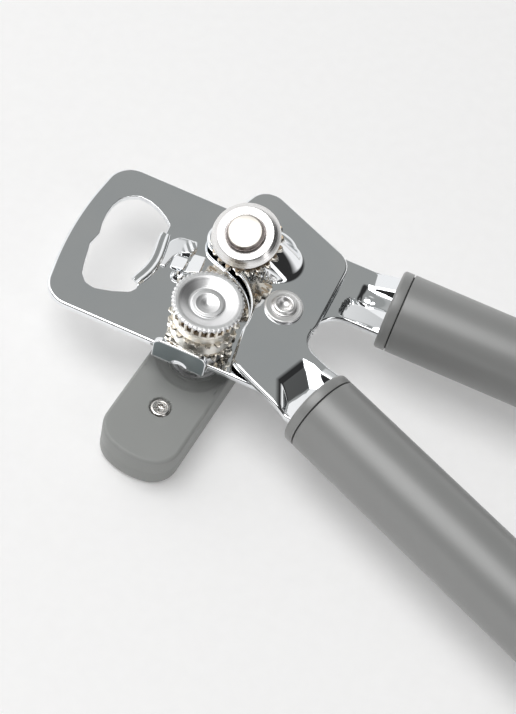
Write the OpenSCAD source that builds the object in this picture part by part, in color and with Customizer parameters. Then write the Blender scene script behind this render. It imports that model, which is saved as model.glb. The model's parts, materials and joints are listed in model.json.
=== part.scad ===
// Gear-driven can and bottle opener, lying on its knob with the working side up and the handles open.
// Origin: on the crank axis, at the flat underside of the knob. +X runs from the nose to the handles,
// +Z points up out of the plates.

/* [Plates] */
// Thickness of each steel plate
plate_t = 2; // [1.8:0.1:2.2]
// Pivot's distance from the crank axis, along the nose plate
pivot_x = 18.7; // [18.4:0.1:19]
// Pivot's distance from the crank axis, across the nose plate
pivot_y = 19.3; // [19:0.1:19.6]
// Distance from the pivot to the tip of the nose
nose_reach = 68.5; // [68.5:0.5:76]
// Distance from the pivot to the upper edge of the nose plate
nose_top = 28.6; // [28:0.1:29]
// Width of the nose plate
nose_w = 56; // [55:0.1:57]
// Width of the neck that runs into each handle
neck_w = 21.4; // [18:0.1:21.6]

/* [Bottle opener] */
// Length of the bottle opening, along the nose plate
mouth_l = 18.6; // [17.5:0.1:19.4]
// Width of the bottle opening, across the nose plate
mouth_w = 35; // [32:0.1:36]
// Radius of the corners of the bottle opening
mouth_r = 5.2; // [4:0.1:6]

/* [Gears and wheels] */
// Number of teeth on each drive gear
gear_teeth = 20; // [20:1:20]
// Tip radius of the gear on the crank
feed_gear_r = 10.8; // [10.7:0.05:10.85]
// Tip radius of the gear behind the cutter
cutter_gear_r = 11; // [10.9:0.05:11.05]
// Number of fine teeth on the feed wheel
feed_teeth = 44; // [36:1:50]
// Tip radius of the feed wheel
feed_r = 10.6; // [10:0.1:10.7]
// Radius of the cutting edge
blade_r = 10.5; // [10:0.1:10.6]
// Lean of the cutter's axis towards the feed wheel
cutter_lean = 20; // [18:0.5:21]

/* [Handles] */
// Outer radius of each handle
handle_r = 12.5; // [12.2:0.1:12.8]
// Length of each grip, with its end cap
grip_l = 113; // [100:1:125]
// Distance from the pivot to the front end of each grip, along the handle
grip_x = 32.4; // [32:0.1:34]
// Angle between the two handles as they lie
open_deg = 23.5; // [21:0.1:23.5]

/* [Knob] */
// Half the length of the knob
knob_half_l = 40; // [37:0.1:40]
// Width of the knob
knob_w = 25; // [22:0.5:27]
// Thickness of the knob
knob_h = 13; // [12.5:0.1:13]
// Direction of the knob as it lies
knob_deg = -96.5; // [-180:0.1:180]
// Distance from the crank axis to each knob screw
knob_screw_x = 20.8; // [18:0.1:25]

/* [Hidden] */
$fn = 96;

run_gap = 0.05;          // radial clearance of a part that turns on another
steel = "silver";
satin = "lightgray";
plastic = [0.48, 0.49, 0.48];

// Heights above the knob's underside
washer_h = 1.1;
bush_l = 8;             // from the knob's washer to the nose plate
nose_z = knob_h + washer_h + bush_l;
nose_face = nose_z + plate_t;
plate_gap = 1.6;
arm_z = nose_face + plate_gap;
arm_face = arm_z + plate_t;
handle_z = nose_face - 0.5;
gear_z = arm_face - 1.4;
gear_low_t = 3.4;
gear_land_t = 3.6;
gear_t = 9;
hub_t = 4.6;
feed_z = gear_z + gear_t + hub_t;
feed_t = 3.8;

// Nose plate, measured from the pivot
nose_low = nose_top - nose_w;
nose_corner_r = 8;
nose_rake = 2.1;
nose_end = 10.8;
neck_start = 19;
neck_end = grip_x - 0.5;
neck_y = nose_top - neck_w / 2;
mouth_x = -61.3;
mouth_y = -16.7;
bush_r = 5;
shaft_r = 3.5;
pivot_r = 4;

// Tab that guides the can's rim
tab_x = -29.2;
tab_l = 16.6;
tab_h = 10.9;
tab_out = 31.6;
tab_t = 1.8;
fold_r = 2.2;

// Handles
collar_l = 3.3;
groove_w = 0.4;
groove_r = 11.7;
collar_bore_r = 11.3;
core_r = 10.2;
tang_w = 14;
tang_l = 78;
cap_l = 9;
pin_r = 2;
pin_l = 18;
pin_xs = [26, 62];
lower_handle_y = -14.9;

// Closing the handles by close_deg brings the two gears into mesh
close_deg = 25.5;
mesh_depth = 0.45;
mesh_d = feed_gear_r + cutter_gear_r - mesh_depth;
mesh_dir = 93;
tooth_h = 1.7;
swing = close_deg - open_deg;
feed_from_arm = [
  -pivot_x * cos(swing) - pivot_y * sin(swing),
  pivot_x * sin(swing) - pivot_y * cos(swing)
];
cutter_at = feed_from_arm + mesh_d * [cos(mesh_dir), sin(mesh_dir)];
cutter_z = arm_face + 9.4;
arm_clear_r = 17.1;
cutter_gear_t = 3;
dome_top_w = -2.5;
dome_top_r = 6;
dome_foot_r = 10.1;
dome_foot = [-15.3, 10.8];

// Knob
knob_corner_r = 9;
knob_split = 6.5;
knob_skin = 2.5;
knob_sweep_r = knob_half_l + 0.35;
bar_w = 12;
bar_t = 3;
screw_head_r = 3.2;
screw_r = 1.6;

// ---------- helpers ----------

// Polygon through pts, grown by r with round corners
module rounded_poly(pts, r) {
  flat_r = r - 0.02;
  polygon(pts);
  for (i = [0 : len(pts) - 1]) {
    a = pts[i];
    b = pts[(i + 1) % len(pts)];
    translate(a) circle(r);
    translate(a) rotate(atan2(b[1] - a[1], b[0] - a[0])) translate([0, -flat_r])
      square([norm(b - a), 2 * flat_r]);
  }
}

module ring(r_out, r_in, h) {
  difference() {
    cylinder(r = r_out, h = h);
    translate([0, 0, -1]) cylinder(r = r_in, h = h + 2);
  }
}

// Outline with n straight-sided teeth; half_root and half_tip are half the tooth's angle
module toothed_outline(n, r_root, r_tip, half_root, half_tip) {
  polygon([
    for (i = [0 : n - 1])
      for (c = [[r_root, -half_root], [r_tip, -half_tip], [r_tip, half_tip], [r_root, half_root]])
        c[0] * [cos(i * 360 / n + c[1]), sin(i * 360 / n + c[1])]
  ]);
}

// Places children in the frame of the pivot, nose plate and upper handle
module at_pivot() {
  translate([pivot_x, pivot_y, 0]) children();
}

// Places children in the frame of the cutter plate and lower handle
module at_arm() {
  at_pivot() rotate(-open_deg) children();
}

module at_upper_handle() {
  at_pivot() translate([0, neck_y, handle_z]) rotate([0, 90, 0]) children();
}

module at_lower_handle() {
  at_arm() translate([0, lower_handle_y, handle_z]) rotate([0, 90, 0]) children();
}

// Places children on the leaning axis of the cutter, at the middle of its gear
module at_cutter() {
  at_arm()
    translate([cutter_at[0], cutter_at[1], cutter_z])
      rotate([0, cutter_lean, mesh_dir + 180])
        children();
}

module at_knob() {
  rotate(knob_deg) children();
}

// Space that the turning knob sweeps out
module knob_sweep() {
  cylinder(r = knob_sweep_r, h = knob_h + 0.3);
}

// ---------- nose plate and what is fixed to it ----------

module nose_outline() {
  r = nose_corner_r;
  front_x = r - nose_reach;
  back_x = nose_end - r;
  top_y = nose_top - r;
  low_y = nose_low + r;
  notch_y = nose_top - neck_w - r;
  rounded_poly([[front_x, low_y], [back_x, low_y], [back_x, top_y], [front_x + nose_rake, top_y], [front_x, 0]], r);
  translate([0, notch_y + r]) square([neck_end, neck_w]);
  difference() {
    translate([nose_end - 0.5, notch_y]) square(r + 0.5);
    translate([nose_end + r, notch_y]) circle(r);
  }
}

module mouth_outline() {
  x0 = mouth_x + mouth_r;
  x1 = x0 + mouth_l - 2 * mouth_r;
  y0 = mouth_y + mouth_r;
  y1 = y0 + mouth_w - 2 * mouth_r;
  rounded_poly([[x0, y0], [x1, y0 + 0.4], [x1, y1 - 3.4], [x0, y1]], mouth_r);
}

// Bent-up tab with rounded top corners and a relief hole in its fold
module rim_tab() {
  corner_r = 2.6;
  difference() {
    intersection() {
      translate([tab_x, 0, nose_z]) rotate([90, 0, 90]) linear_extrude(tab_l) {
        translate([fold_r - tab_out, 0]) square([6, plate_t]);
        translate([-tab_out, fold_r]) square([tab_t, tab_h - fold_r]);
        intersection() {
          translate([-tab_out, 0]) square(fold_r);
          translate([fold_r - tab_out, fold_r]) circle(fold_r);
        }
      }
      translate([tab_x, -20, nose_z]) rotate([90, 0, 0]) linear_extrude(20) {
        square([tab_l, tab_h - corner_r]);
        translate([corner_r, 0]) square([tab_l - 2 * corner_r, tab_h]);
        for (x = [corner_r, tab_l - corner_r]) translate([x, tab_h - corner_r]) circle(corner_r);
      }
    }
    translate([tab_x + 8.6, -tab_out - 1, nose_z + 1.6]) rotate([-90, 0, 0]) cylinder(r = 2.7, h = 3.4);
  }
}

// Low hook and lug pressed up out of the nose plate, clear of the cutter plate above them
module rim_hook() {
  hook_r = 4.4;
  hook_h = plate_gap - 0.3;
  translate([-37.2, 7.6, nose_face - 0.2]) rotate(20) difference() {
    cylinder(r = hook_r, h = hook_h + 0.2);
    translate([0, 0, -1]) cylinder(r = hook_r - 2, h = 5);
    translate([-0.5, -6, -1]) cube([6, 6, 5]);
  }
  translate([-35.4, -0.2, nose_face - 0.2]) rotate(38) cube([8.2, 4.4, hook_h + 0.2]);
}

// Bead along the catch edge of the bottle opening
module mouth_lip() {
  translate([mouth_x + mouth_l + 0.4, -11, nose_face - 0.2]) rotate([-90, 0, 0]) cylinder(r = 1.1, h = 19);
}

// Raised bead and turned-down edges of a neck, along its middle line
module neck_form() {
  bead_r = 6;
  bead_h = 1;
  edge_h = 2.6;
  edge_t = 1.6;
  intersection() {
    translate([neck_start + 3, 0, nose_face - bead_r + bead_h]) rotate([0, 90, 0]) cylinder(r = bead_r, h = 9);
    translate([neck_start, -neck_w / 2, nose_z]) cube([12, neck_w, plate_t + bead_h]);
  }
  for (side = [-1, 1])
    translate([neck_start + 4, side * (neck_w - edge_t) / 2 - edge_t / 2, nose_z - edge_h])
      cube([5, edge_t, edge_h + 0.1]);
}

module tang() {
  translate([neck_end - 1, -tang_w / 2, nose_z]) cube([grip_x + tang_l - neck_end + 1, tang_w, plate_t]);
}

module tang_holes() {
  for (x = pin_xs) translate([grip_x + x, 0, nose_z - 1]) cylinder(r = pin_r, h = plate_t + 2);
}

module nose_plate() {
  color(steel) at_pivot() difference() {
    union() {
      translate([0, 0, nose_z]) linear_extrude(plate_t) difference() {
        nose_outline();
        mouth_outline();
      }
      rim_tab();
      rim_hook();
      mouth_lip();
      translate([0, neck_y, 0]) {
        neck_form();
        tang();
      }
    }
    translate([0, 0, nose_z - 1]) cylinder(r = pivot_r, h = plate_t + 2);
    translate([-pivot_x, -pivot_y, nose_z - 1]) cylinder(r = bush_r, h = plate_t + 2);
    translate([0, neck_y, 0]) tang_holes();
  }
}

// Flanged bush that carries the crank in the nose plate
module shaft_bushing() {
  flange = 1.7;
  skirt = bush_l - 0.2;
  color(satin) difference() {
    union() {
      translate([0, 0, nose_z - skirt]) cylinder(r = 7, h = skirt);
      translate([0, 0, nose_z]) cylinder(r = bush_r, h = plate_t);
      translate([0, 0, nose_face]) cylinder(r = 8.5, h = flange);
    }
    translate([0, 0, nose_z - skirt - 1]) cylinder(r = shaft_r + run_gap, h = 20);
  }
}

// Tubular rivet with a rolled head and a dimpled centre
module pivot_rivet() {
  head_z = arm_face + 2.1;
  color(satin) at_pivot() difference() {
    union() {
      translate([0, 0, nose_z - 1.8]) cylinder(r = 6.5, h = 1.8);
      translate([0, 0, nose_z]) cylinder(r = pivot_r, h = head_z - nose_z);
      translate([0, 0, head_z]) rotate_extrude() translate([2.3, 0]) difference() {
        circle(1.1);
        translate([-2, -4]) square([4, 4]);
      }
      translate([0, 0, head_z]) cylinder(r = 2.3, h = 0.5);
    }
    translate([0, 0, head_z - 1]) cylinder(r1 = 0.3, r2 = 2, h = 1.6);
  }
}

module pivot_washer() {
  color(satin) at_pivot() translate([0, 0, arm_face + 0.1]) difference() {
    union() {
      ring(5.2, pivot_r, 2);
      translate([0, 0, 0.5]) ring(5.8, pivot_r, 1);
    }
  }
}

module pivot_spacer() {
  color(satin) at_pivot() translate([0, 0, nose_face]) ring(7, pivot_r, plate_gap - 0.05);
}

// ---------- handles ----------

// All handle parts run along +Z here, from the pivot at 0

module collar() {
  front = grip_x - groove_w - collar_l;
  edge = 1;
  difference() {
    union() {
      translate([0, 0, front + edge]) cylinder(r = handle_r, h = collar_l - edge);
      translate([0, 0, front]) cylinder(r1 = handle_r - edge, r2 = handle_r, h = edge);
    }
    translate([0, 0, front - 1]) cylinder(r = collar_bore_r, h = collar_l + 2);
  }
}

module grip() {
  translate([0, 0, grip_x]) ring(handle_r, core_r, grip_l - cap_l);
}

module core() {
  slot_t = plate_t + 0.2;
  mid = handle_z - nose_z - plate_t / 2;
  difference() {
    union() {
      translate([0, 0, grip_x]) cylinder(r = core_r, h = grip_l - cap_l - 6);
      translate([0, 0, grip_x - groove_w]) cylinder(r = groove_r, h = groove_w);
    }
    translate([mid - slot_t / 2, -tang_w / 2 - 0.1, 0]) cube([slot_t, tang_w + 0.2, grip_x + tang_l + 0.2]);
    translate([mid, 0, 0]) for (x = pin_xs)
      translate([-pin_l / 2 - 5, 0, grip_x + x]) rotate([0, 90, 0]) cylinder(r = pin_r, h = pin_l + 10);
  }
}

module end_cap() {
  crown_r = 3;
  start = grip_x + grip_l - cap_l;
  translate([0, 0, start - 5]) cylinder(r = core_r, h = 5);
  translate([0, 0, start]) cylinder(r = handle_r, h = cap_l - crown_r);
  translate([0, 0, start + cap_l - crown_r]) {
    cylinder(r = handle_r - crown_r, h = crown_r);
    rotate_extrude() translate([handle_r - crown_r, 0]) intersection() {
      circle(crown_r);
      square(crown_r);
    }
  }
}

module tang_pins() {
  for (x = pin_xs) translate([-pin_l / 2, 0, grip_x + x]) rotate([0, 90, 0]) cylinder(r = pin_r, h = pin_l);
}

module upper_collar() { color(plastic) at_upper_handle() collar(); }
module upper_core() { color(satin) at_upper_handle() core(); }
module upper_grip() { color(plastic) at_upper_handle() grip(); }
module upper_end_cap() { color(plastic) at_upper_handle() end_cap(); }
module upper_tang_pins() { color(steel) at_upper_handle() tang_pins(); }

// The lower handle's collar is cut back underneath so that the knob turns past it
module lower_collar() {
  color(plastic) difference() {
    at_lower_handle() collar();
    knob_sweep();
  }
}

module lower_core() { color(satin) at_lower_handle() core(); }
module lower_grip() { color(plastic) at_lower_handle() grip(); }
module lower_end_cap() { color(plastic) at_lower_handle() end_cap(); }
module lower_tang_pins() { color(steel) at_lower_handle() tang_pins(); }

// ---------- cutter plate and what is fixed to it ----------

module arm_outline() {
  corner_r = 7;
  neck_top = lower_handle_y + neck_w / 2;
  fillet_r = 6;
  flank_x = 4.5 + corner_r;
  difference() {
    union() {
      rounded_poly([[-30, 6], [-30, 21.5], [-3.4, 21.5], [4.5, 1.3], [4.5, lower_handle_y]], corner_r);
      translate([-3, neck_top - neck_w]) square([neck_start - 1, neck_w]);
      difference() {
        translate([flank_x - 0.5, neck_top - 0.5]) square(fillet_r + 0.5);
        translate([flank_x + fillet_r, neck_top + fillet_r]) circle(fillet_r);
      }
    }
    translate(feed_from_arm) circle(arm_clear_r);
    translate([-50, -41.5]) square([50 + feed_from_arm[0], 40]);
    translate([-2.9, -14.3]) rotate(-59.6) translate([-4, -30]) square([30, 30]);
  }
}

// Joggle that brings the cutter plate's neck down to the level of the nose plate
module neck_joggle() {
  start = neck_start - 5;
  bend = start + 3;
  foot = bend + 5;
  translate([0, neck_w / 2, 0]) rotate([90, 0, 0]) linear_extrude(neck_w) polygon([
    [start, arm_z], [start, arm_face], [bend, arm_face], [foot, nose_face],
    [neck_end, nose_face], [neck_end, nose_z], [foot - 0.8, nose_z], [bend - 0.8, arm_z]
  ]);
}

// Pressed dome that carries the leaning cutter
module dome() {
  rise = 0.6;
  hull() {
    at_arm() translate([dome_foot[0], dome_foot[1], arm_z + 0.5]) cylinder(r = dome_foot_r, h = rise + 1.5, $fn = 48);
    at_arm() translate([cutter_at[0], cutter_at[1] + 4.5, arm_z + 0.5]) cylinder(r = 7.5, h = rise + 1.5, $fn = 48);
    at_cutter() translate([0, 0, dome_top_w - 0.5]) cylinder(r = dome_top_r, h = 0.5, $fn = 48);
  }
}

module cutter_plate() {
  color(steel) difference() {
    union() {
      at_arm() {
        translate([0, 0, arm_z]) linear_extrude(plate_t) arm_outline();
        translate([0, lower_handle_y, 0]) {
          neck_form();
          neck_joggle();
          tang();
        }
      }
      dome();
    }
    at_pivot() translate([0, 0, arm_z - 1]) cylinder(r = pivot_r + run_gap, h = plate_t + 2);
    at_arm() translate([0, lower_handle_y, 0]) tang_holes();
  }
}

// Stud that the cutter turns on, with the broad head seen in the middle of the wheel
module cutter_stud() {
  color(satin) at_cutter() {
    translate([0, 0, dome_top_w]) cylinder(r = 3, h = 7.7);
    translate([0, 0, 5.1]) cylinder(r = 5, h = 2);
    translate([0, 0, 7.1]) cylinder(r1 = 5, r2 = 4.6, h = 0.6);
  }
}

module cutter_thrust_washer() {
  color(satin) at_cutter() translate([0, 0, dome_top_w]) ring(5.5, 3, 0.9);
}

// ---------- cutter ----------

module cutter_gear() {
  color(satin) at_cutter() translate([0, 0, -cutter_gear_t / 2]) difference() {
    linear_extrude(cutter_gear_t) rotate(180 / gear_teeth)
      toothed_outline(gear_teeth, cutter_gear_r - tooth_h, cutter_gear_r, 4.4, 1.9);
    translate([0, 0, -1]) cylinder(r = 3 + run_gap, h = cutter_gear_t + 2);
  }
}

module cutter_spacer() {
  color(satin) at_cutter() translate([0, 0, cutter_gear_t / 2]) ring(7.5, 3 + run_gap, 2.2);
}

// Cutting wheel: flat face with a bevel down to the edge, and a recess for the stud's head
module cutter_wheel() {
  color(satin) at_cutter() rotate_extrude() polygon([
    [3 + run_gap, 3.7], [blade_r - 1.6, 3.7], [blade_r, 4], [blade_r - 1.95, 6],
    [6.1, 6], [6.1, 5], [3 + run_gap, 5]
  ]);
}

// ---------- crank ----------

module feed_shaft() {
  top = feed_z + feed_t;
  color(satin) difference() {
    union() {
      translate([0, 0, knob_skin + 0.5]) cylinder(r = shaft_r, h = top - 2 - knob_skin);
      translate([0, 0, top - 1.9]) cylinder(r = 4.1, h = 0.4);
    }
    translate([0, 0, top - 3.2]) cylinder(r1 = 0.2, r2 = 3.4, h = 1.8);
  }
}

module crank_washer() {
  color(satin) translate([0, 0, knob_h]) ring(8, shaft_r, washer_h);
}

// Gear with a smooth land between its lower and upper teeth; the upper ones drive the cutter
module feed_gear() {
  low_r = 10.2;
  land_r = 9.6;
  top_z = gear_low_t + gear_land_t;
  color(satin) translate([0, 0, gear_z]) difference() {
    union() {
      linear_extrude(gear_low_t) toothed_outline(gear_teeth, low_r - tooth_h, low_r, 4.6, 2.8);
      translate([0, 0, gear_low_t]) cylinder(r = land_r, h = gear_land_t);
      translate([0, 0, top_z]) linear_extrude(gear_t - top_z) rotate(mesh_dir + swing)
        toothed_outline(gear_teeth, feed_gear_r - tooth_h, feed_gear_r, 4.4, 2.2);
    }
    translate([0, 0, -1]) cylinder(r = shaft_r, h = gear_t + 2);
  }
}

module feed_hub() {
  color(satin) translate([0, 0, gear_z + gear_t]) ring(9.4, shaft_r, hub_t);
}

// Feed wheel: fine teeth round a dished face
module feed_wheel() {
  dish_z = feed_t - 1.9;
  color(satin) translate([0, 0, feed_z]) difference() {
    linear_extrude(feed_t) toothed_outline(feed_teeth, feed_r - 1.2, feed_r, 2.8, 0.9);
    translate([0, 0, -1]) cylinder(r = shaft_r, h = feed_t + 2);
    translate([0, 0, dish_z]) cylinder(r1 = 5.6, r2 = 7.9, h = 2);
  }
}

module knob_outline(inset) {
  x = knob_half_l - knob_corner_r;
  y = knob_w / 2 - knob_corner_r;
  rounded_poly([[-x, -y], [x, -y], [x, y], [-x, y]], knob_corner_r - inset);
}

module knob_screw_points() {
  for (side = [-1, 1]) translate([side * knob_screw_x, 0, 0]) children();
}

// Upper half of the knob, with a shallow well round the shaft
module knob_upper_shell() {
  color(plastic) at_knob() difference() {
    translate([0, 0, knob_split]) linear_extrude(knob_h - knob_split) knob_outline(0);
    translate([0, 0, knob_split - 1]) linear_extrude(knob_h - knob_split - knob_skin + 1) difference() {
      knob_outline(knob_skin);
      circle(8);
      knob_screw_points() circle(4.5);
    }
    translate([0, 0, knob_h - 0.9]) ring(11.8, 8.2, 2);
    translate([0, 0, knob_split - 1]) cylinder(r = shaft_r, h = knob_h);
    knob_screw_points() {
      translate([0, 0, knob_split - 1]) cylinder(r = screw_r, h = knob_h);
      translate([0, 0, knob_h - 1.6]) cylinder(r = screw_head_r, h = 2);
    }
  }
}

// Lower half of the knob, a tray with a flat underside
module knob_lower_shell() {
  color(plastic) at_knob() difference() {
    linear_extrude(knob_split) knob_outline(0);
    translate([0, 0, knob_skin]) linear_extrude(knob_split) difference() {
      knob_outline(knob_skin);
      circle(8);
      knob_screw_points() circle(4.5);
    }
    translate([-30, -bar_w / 2, knob_split - bar_t]) cube([60, bar_w, bar_t + 1]);
    translate([0, 0, knob_skin + 0.5]) cylinder(r = shaft_r, h = knob_split);
    knob_screw_points() translate([0, 0, knob_skin]) cylinder(r = screw_r, h = knob_split);
  }
}

// Steel bar that locks the shaft to the knob
module knob_drive_bar() {
  color(steel) at_knob() translate([0, 0, knob_split - bar_t]) difference() {
    translate([-29.8, 0.2 - bar_w / 2, 0]) cube([59.6, bar_w - 0.4, bar_t]);
    translate([0, 0, -1]) cylinder(r = shaft_r, h = bar_t + 2);
    knob_screw_points() translate([0, 0, -1]) cylinder(r = screw_r, h = bar_t + 2);
  }
}

module knob_screws() {
  color(steel) at_knob() knob_screw_points() difference() {
    union() {
      translate([0, 0, knob_skin + 0.2]) cylinder(r = screw_r, h = knob_h - 1.6 - knob_skin);
      translate([0, 0, knob_h - 1.6]) cylinder(r = screw_head_r - 0.1, h = 1.5);
    }
    translate([0, 0, knob_h - 1]) cylinder(r1 = 0.8, r2 = 1.4, h = 1.2);
  }
}

nose_plate();
shaft_bushing();
pivot_rivet();
pivot_washer();
pivot_spacer();
upper_collar();
upper_core();
upper_grip();
upper_end_cap();
upper_tang_pins();
cutter_plate();
cutter_stud();
cutter_thrust_washer();
lower_collar();
lower_core();
lower_grip();
lower_end_cap();
lower_tang_pins();
feed_shaft();
crank_washer();
feed_gear();
feed_hub();
feed_wheel();
knob_upper_shell();
knob_lower_shell();
knob_drive_bar();
knob_screws();
cutter_gear();
cutter_spacer();
cutter_wheel();
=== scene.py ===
"""Gear-driven can and bottle opener: detailed pieces, materials, studio and camera.

Local coordinates of the pieces are in millimetres; every piece is placed in the CAD frame, in metres.
"""

import json
import math

import bmesh
import bpy
from mathutils import Matrix, Vector
from mathutils.geometry import delaunay_2d_cdt


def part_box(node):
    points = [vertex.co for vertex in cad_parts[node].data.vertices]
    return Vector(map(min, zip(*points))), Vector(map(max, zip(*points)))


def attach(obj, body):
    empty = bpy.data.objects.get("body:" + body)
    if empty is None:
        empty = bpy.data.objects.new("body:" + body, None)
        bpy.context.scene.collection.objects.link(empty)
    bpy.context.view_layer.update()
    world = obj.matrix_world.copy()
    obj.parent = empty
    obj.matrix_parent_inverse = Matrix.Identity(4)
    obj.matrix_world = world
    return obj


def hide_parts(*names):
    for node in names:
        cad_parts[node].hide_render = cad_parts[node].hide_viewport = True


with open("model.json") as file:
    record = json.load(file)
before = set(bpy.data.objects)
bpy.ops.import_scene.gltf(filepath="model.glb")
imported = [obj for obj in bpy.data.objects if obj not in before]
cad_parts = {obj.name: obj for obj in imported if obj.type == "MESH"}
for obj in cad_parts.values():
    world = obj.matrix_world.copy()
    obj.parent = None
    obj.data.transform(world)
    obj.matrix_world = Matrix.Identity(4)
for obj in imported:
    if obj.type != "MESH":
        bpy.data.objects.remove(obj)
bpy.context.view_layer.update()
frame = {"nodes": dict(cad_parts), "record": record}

MM = 0.001
# Points this close are joined, and thinner faces than this are dissolved, in metres
MERGE_M = 1e-6
SLIVER_M = 1e-7
NODES = frame["nodes"]
JOINTS = {j["name"]: j for j in frame["record"]["behaviour"]["joints"]}

# ---------- places and sizes, in millimetres ----------

# Angle between the two plates at rest. The arm's frame is the nose plate's, turned back by it about the pivot.
OPEN_DEG = 23.5
PLATE_T = 2.0
PIVOT = Vector(JOINTS["handle_squeeze"]["pos_m"]) / MM
CUTTER_AT = Vector(JOINTS["cutter_spin"]["pos_m"]) / MM
CUTTER_AXIS = Vector(JOINTS["cutter_spin"]["axis"])
ARM_FACE = PIVOT.z
NOSE_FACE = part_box("pivot_spacer")[0][2] / MM
GRIP_LOW, GRIP_HIGH = (Vector(c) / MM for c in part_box("upper_grip"))
COLLAR_LOW, COLLAR_HIGH = (Vector(c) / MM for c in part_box("upper_collar"))
CAP_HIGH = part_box("upper_end_cap")[1][0] / MM
KNOB_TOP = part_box("knob_upper_shell")[1][2] / MM
KNOB_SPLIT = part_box("knob_upper_shell")[0][2] / MM
HANDLE_R = (GRIP_HIGH.y - GRIP_LOW.y) / 2
HANDLE_Y = (GRIP_LOW.y + GRIP_HIGH.y) / 2 - PIVOT.y
HANDLE_Z = (GRIP_LOW.z + GRIP_HIGH.z) / 2
LOWER_HANDLE_Y = -14.9
GRIP_X = GRIP_LOW.x - PIVOT.x
NECK_END = GRIP_X - 0.5

AT_NOSE = Matrix.Translation((PIVOT.x, PIVOT.y, 0))
AT_ARM = AT_NOSE @ Matrix.Rotation(math.radians(-OPEN_DEG), 4, "Z")
ALONG = Matrix.Rotation(math.radians(90), 4, "Y")
AT_UPPER_HANDLE = AT_NOSE @ Matrix.Translation((0, HANDLE_Y, HANDLE_Z)) @ ALONG
AT_LOWER_HANDLE = AT_ARM @ Matrix.Translation((0, LOWER_HANDLE_Y, HANDLE_Z)) @ ALONG
KNOB_DEG = -96.5
AT_KNOB = Matrix.Rotation(math.radians(KNOB_DEG), 4, "Z")
AT_CRANK = Matrix.Identity(4)


# ---------- small helpers ----------

# Depth of the gap at ten steps round one tooth and the gap after it
TOOTH_WAVE = (0, 0, 0, 0.25, 0.75, 1, 1, 1, 0.75, 0.25)
# Half the angle at a corner from which it counts as straight
STRAIGHT_HALF = math.radians(89.5)
# Steps of a rim's quarter round, and the narrow flat ring inside it
RIM_ANGLES = [math.radians(15 * k) for k in range(7)]
RIM_FLAT = 0.15
# Size of a swept profile at its first and second point from either end
END_TAPER = (0.78, 0.95)
# Shorter sides than this are left out of an outline, and smaller radii than this lie on a lathe's axis
SHORT_SIDE = 1e-4
ON_AXIS = 1e-6
# How near to each other the triangulation takes two points as one
SAME_POINT = 1e-5


def smoothstep(a, b, x):
    """0 at a, 1 at b, with an even start and stop; a may be the larger one."""
    t = min(max((x - a) / (b - a), 0.0), 1.0)
    return t * t * (3 - 2 * t)


def mesh_object(name, verts, faces, at, sharp_deg=40):
    """An object in metres from verts in local millimetres, smooth apart from edges over sharp_deg."""
    mesh = bpy.data.meshes.new(name)
    mesh.from_pydata([(at @ Vector(v)) * MM for v in verts], [], faces)
    work = bmesh.new()
    work.from_mesh(mesh)
    bmesh.ops.remove_doubles(work, verts=work.verts, dist=MERGE_M)
    bmesh.ops.dissolve_degenerate(work, dist=SLIVER_M, edges=work.edges)
    bmesh.ops.recalc_face_normals(work, faces=work.faces)
    work.to_mesh(mesh)
    work.free()
    mesh.shade_smooth()
    mesh.set_sharp_from_angle(angle=math.radians(sharp_deg))
    obj = bpy.data.objects.new(name, mesh)
    bpy.context.scene.collection.objects.link(obj)
    return obj


def toothed_wheel(name, profile, teeth, at, turn_deg=0.0):
    """Closed solid from (radius, height, depth) points; depth is how far the gaps cut in at that point."""
    count = teeth * len(TOOTH_WAVE)
    verts, faces = [], []
    for radius, height, depth in profile:
        for k in range(count):
            a = 2 * math.pi * k / count + math.radians(turn_deg)
            r = radius - depth * TOOTH_WAVE[k % len(TOOTH_WAVE)]
            verts.append((r * math.cos(a), r * math.sin(a), height))
    rows = len(profile)
    for i in range(rows):
        j = (i + 1) % rows
        for k in range(count):
            m = (k + 1) % count
            faces.append((i * count + k, i * count + m, j * count + m, j * count + k))
    return mesh_object(name, verts, faces, at, 35)


def paint(obj, material, test):
    """Gives the faces whose centre, in millimetres, passes test a material of their own."""
    obj.data.materials.append(material)
    index = len(obj.data.materials) - 1
    for face in obj.data.polygons:
        if test(Vector(face.center) / MM):
            face.material_index = index


def finish_piece(obj, body, slot, material, *replaced):
    """Sets a piece's material and body, and hides the CAD nodes it stands for. The slot argument is not used."""
    obj.data.materials.append(material)
    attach(obj, body)
    if replaced:
        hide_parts(*replaced)


def rounded_loop(corners, step=0.6):
    """Closed outline through (x, y, radius) corners, each one rounded."""
    points = []
    n = len(corners)
    for i in range(n):
        here = Vector(corners[i][:2])
        radius = corners[i][2]
        before = (Vector(corners[i - 1][:2]) - here).normalized()
        after = (Vector(corners[(i + 1) % n][:2]) - here).normalized()
        half = before.angle(after) / 2
        if radius <= 0 or half > STRAIGHT_HALF:
            points.append(here)
            continue
        reach = radius / math.tan(half)
        centre = here + (before + after).normalized() * (radius / math.sin(half))
        start, end = here + before * reach - centre, here + after * reach - centre
        turn = start.angle_signed(end)
        count = max(3, round(abs(turn) * radius / step))
        for k in range(count + 1):
            points.append(centre + Matrix.Rotation(-turn * k / count, 2) @ start)
    return resample(points, step)


def arc(cx, cy, radius, from_deg, to_deg, count=24):
    """Points of an arc as corners with no rounding."""
    out = []
    for k in range(count + 1):
        a = math.radians(from_deg + (to_deg - from_deg) * k / count)
        out.append((cx + radius * math.cos(a), cy + radius * math.sin(a), 0))
    return out


def circle(cx, cy, radius, count=36):
    """Round outline, for a hole."""
    return rounded_loop(arc(cx, cy, radius, 0, 360 - 360 / count, count - 1))


def resample(points, step):
    """Adds points so that no side of the closed outline is longer than about 2 steps."""
    out = []
    for i, a in enumerate(points):
        b = points[(i + 1) % len(points)]
        length = (b - a).length
        if length < SHORT_SIDE:
            continue
        count = max(1, round(length / (2 * step)))
        out += [a.lerp(b, k / count) for k in range(count)]
    return out


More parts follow.
